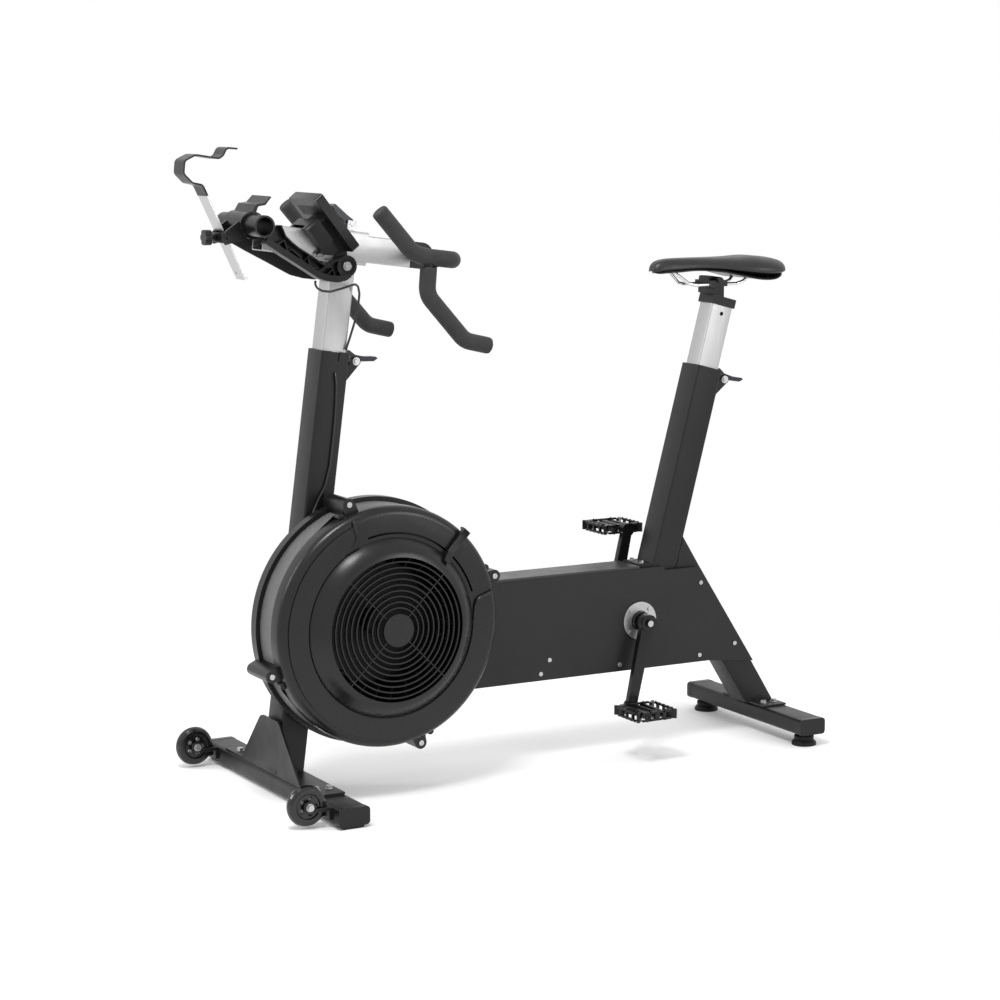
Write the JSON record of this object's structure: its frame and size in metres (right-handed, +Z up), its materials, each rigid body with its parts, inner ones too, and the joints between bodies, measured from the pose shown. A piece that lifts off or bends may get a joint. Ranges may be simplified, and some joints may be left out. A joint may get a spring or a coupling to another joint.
{
  "type": "exercise bike",
  "caption": "Upright air-resistance exercise bike with a round fan cage, belt drive, adjustable saddle and handlebar posts, cranks with pedals, tilting monitor and device holder.",
  "frame": {"origin": "centre of the outline on the floor", "axes": "+X towards the saddle end, +Y towards the rider's right, +Z up"},
  "size_m": [1.3061, 0.61, 1.2128],
  "materials": {
    "powder_coat": "satin",
    "bright_tube": "satin",
    "machined": "satin",
    "zinc": "bright",
    "black_plastic": "matt",
    "cover_plastic": "fine grained",
    "mesh_grey": "satin",
    "rubber": "matt",
    "foam": "matt foam",
    "vinyl": "grained",
    "lcd": "gloss",
    "key_grey": "satin",
    "cord": "satin",
    "fan_plastic": "satin",
    "crank_black": "satin"
  },
  "bodies": {
    "frame": {"front_foot_beam": "powder_coat", "front_end_caps": "black_plastic", "front_mast": "powder_coat", "frame_bolts": "zinc", "wheel_brackets": "powder_coat", "top_rail": "powder_coat", "bottom_rail": "powder_coat", "bearing_plates": "powder_coat", "side_cover_left": "powder_coat", "side_cover_right": "powder_coat", "top_cover": "mesh_grey", "cover_screws": "zinc", "rear_leg": "powder_coat", "rear_foot_beam": "powder_coat", "rear_end_caps": "black_plastic", "seat_mast": "powder_coat", "mast_bushings": "black_plastic", "lever_brackets": "powder_coat", "lower_cable": "cord", "fan_cover_left": "cover_plastic", "fan_grille": "cover_plastic", "fan_cover_right": "cover_plastic", "mesh_band": "mesh_grey", "drive_belts": "rubber", "bearing_flanges": "machined"},
    "wheel_left": {"wheel_left": "rubber"},
    "wheel_right": {"wheel_right": "rubber"},
    "foot_left": {"levelling_foot_left": "rubber"},
    "foot_right": {"levelling_foot_right": "rubber"},
    "seat_lever": {"seat_lever": "black_plastic"},
    "seat_post": {"seat_post": "bright_tube", "seat_post_cap": "powder_coat"},
    "saddle_clamp": {"saddle_clamp": "powder_coat"},
    "saddle": {"saddle_rails": "zinc", "saddle_shell": "black_plastic", "saddle_pad": "vinyl"},
    "bar_post": {"handlebar_post": "bright_tube", "stem_sleeve": "bright_tube", "stem_pins": "zinc", "upper_cable": "cord"},
    "post_lever": {"post_lever": "black_plastic"},
    "stem_lever": {"stem_lever": "black_plastic"},
    "stem": {"stem_tube": "bright_tube", "handlebar_clamp": "powder_coat", "handlebar": "powder_coat", "grips": "foam"},
    "monitor_arm": {"monitor_arm": "black_plastic"},
    "monitor": {"monitor_case": "black_plastic", "monitor_screen": "lcd", "battery_box": "black_plastic"},
    "keys": {"monitor_keys": "key_grey"},
    "holder_clamp": {"holder_clamp": "black_plastic"},
    "holder_bar": {"holder_bar": "machined"},
    "holder_knob": {"holder_knob": "black_plastic"},
    "damper": {"damper_lever": "black_plastic"},
    "fan": {"fan_wheel": "fan_plastic"},
    "idler": {"idler": "fan_plastic"},
    "crank": {"crank_set": "crank_black"},
    "pedal_left": {"pedal_left": "black_plastic"},
    "pedal_right": {"pedal_right": "black_plastic"}
  },
  "joints": [
    {"name": "wheel_left_spin", "type": "hinge", "parent": "frame", "child": "wheel_left", "pos_m": [-0.538, -0.258, 0.042], "axis": [0, 1, 0], "continuous": true},
    {"name": "foot_left_turn", "type": "hinge", "parent": "frame", "child": "foot_left", "pos_m": [0.616, -0.1785, 0], "axis": [0, 0, 1], "continuous": true},
    {"name": "wheel_right_spin", "type": "hinge", "parent": "frame", "child": "wheel_right", "pos_m": [-0.538, 0.258, 0.042], "axis": [0, 1, 0], "continuous": true},
    {"name": "foot_right_turn", "type": "hinge", "parent": "frame", "child": "foot_right", "pos_m": [0.616, 0.1785, 0], "axis": [0, 0, 1], "continuous": true},
    {"name": "seat_lever_turn", "type": "hinge", "parent": "frame", "child": "seat_lever", "pos_m": [0.5235, 0, 0.7353], "axis": [0, 1, 0], "range_deg": [0, 60]},
    {"name": "seat_post_slide", "type": "slide", "parent": "frame", "child": "seat_post", "axis": [0.2571, 0, 0.9664], "range_m": [-0.11, 0.05]},
    {"name": "saddle_tilt", "type": "hinge", "parent": "seat_post", "child": "saddle_clamp", "pos_m": [0.496, 0, 0.94], "axis": [0, 1, 0], "range_deg": [-8, 8]},
    {"name": "saddle_fore_aft", "type": "slide", "parent": "saddle_clamp", "child": "saddle", "axis": [1, 0, 0], "range_m": [-0.01, 0.015]},
    {"name": "bar_post_slide", "type": "slide", "parent": "frame", "child": "bar_post", "axis": [0.1305, 0, 0.9914], "range_m": [-0.1, 0.06], "deforming": ["upper_cable"]},
    {"name": "post_lever_turn", "type": "hinge", "parent": "frame", "child": "post_lever", "pos_m": [-0.3096, 0, 0.812], "axis": [0, 1, 0], "range_deg": [0, 60]},
    {"name": "stem_slide", "type": "slide", "parent": "bar_post", "child": "stem", "axis": [0.9914, 0, -0.1305], "range_m": [-0.003, 0.04]},
    {"name": "stem_lever_turn", "type": "hinge", "parent": "bar_post", "child": "stem_lever", "pos_m": [-0.3171, 0, 1.0692], "axis": [0, 1, 0], "range_deg": [0, 70]},
    {"name": "monitor_arm_turn", "type": "hinge", "parent": "bar_post", "child": "monitor_arm", "pos_m": [-0.345, 0, 0.993], "axis": [0, 1, 0], "range_deg": [-15, 20], "deforming": ["upper_cable"]},
    {"name": "monitor_turn", "type": "hinge", "parent": "bar_post", "child": "monitor", "pos_m": [-0.345, 0, 0.993], "axis": [0, 1, 0], "range_deg": [-2, 8]},
    {"name": "key_press", "type": "slide", "parent": "monitor", "child": "keys", "axis": [-0.7859, 0, -0.6184], "range_m": [0, 0.0006], "stiffness_N_per_m": 600, "springref_m": -0.0003},
    {"name": "holder_turn", "type": "hinge", "parent": "monitor_arm", "child": "holder_clamp", "pos_m": [-0.528, 0, 1.072], "axis": [0, 1, 0], "range_deg": [-20, 20]},
    {"name": "holder_bar_slide", "type": "slide", "parent": "holder_clamp", "child": "holder_bar", "axis": [-0.4305, 0, 0.9026], "range_m": [-0.02, 0.04]},
    {"name": "holder_knob_turn", "type": "hinge", "parent": "holder_clamp", "child": "holder_knob", "pos_m": [-0.593, 0, 1.05], "axis": [1, 0, 0], "continuous": true},
    {"name": "damper_turn", "type": "hinge", "parent": "frame", "child": "damper", "pos_m": [-0.312, 0, 0.328], "axis": [0, -1, 0], "range_deg": [-29, 56]},
    {"name": "crank_spin", "type": "hinge", "parent": "frame", "child": "crank", "pos_m": [0.305, 0, 0.263], "axis": [0, 1, 0], "continuous": true},
    {"name": "idler_spin", "type": "hinge", "parent": "frame", "child": "idler", "pos_m": [0.048, 0, 0.266], "axis": [0, 1, 0], "continuous": true},
    {"name": "fan_spin", "type": "hinge", "parent": "frame", "child": "fan", "pos_m": [-0.312, 0, 0.328], "axis": [0, 1, 0], "continuous": true},
    {"name": "pedal_left_spin", "type": "hinge", "parent": "crank", "child": "pedal_left", "pos_m": [0.26387, -0.131, 0.09805], "axis": [0, 1, 0], "continuous": true},
    {"name": "pedal_right_spin", "type": "hinge", "parent": "crank", "child": "pedal_right", "pos_m": [0.34613, 0.131, 0.42795], "axis": [0, 1, 0], "continuous": true}
  ],
  "couplings": [
    {"joint": "idler_spin", "follows": "crank_spin", "ratio": 2.88},
    {"joint": "fan_spin", "follows": "crank_spin", "ratio": 8.2643}
  ]
}
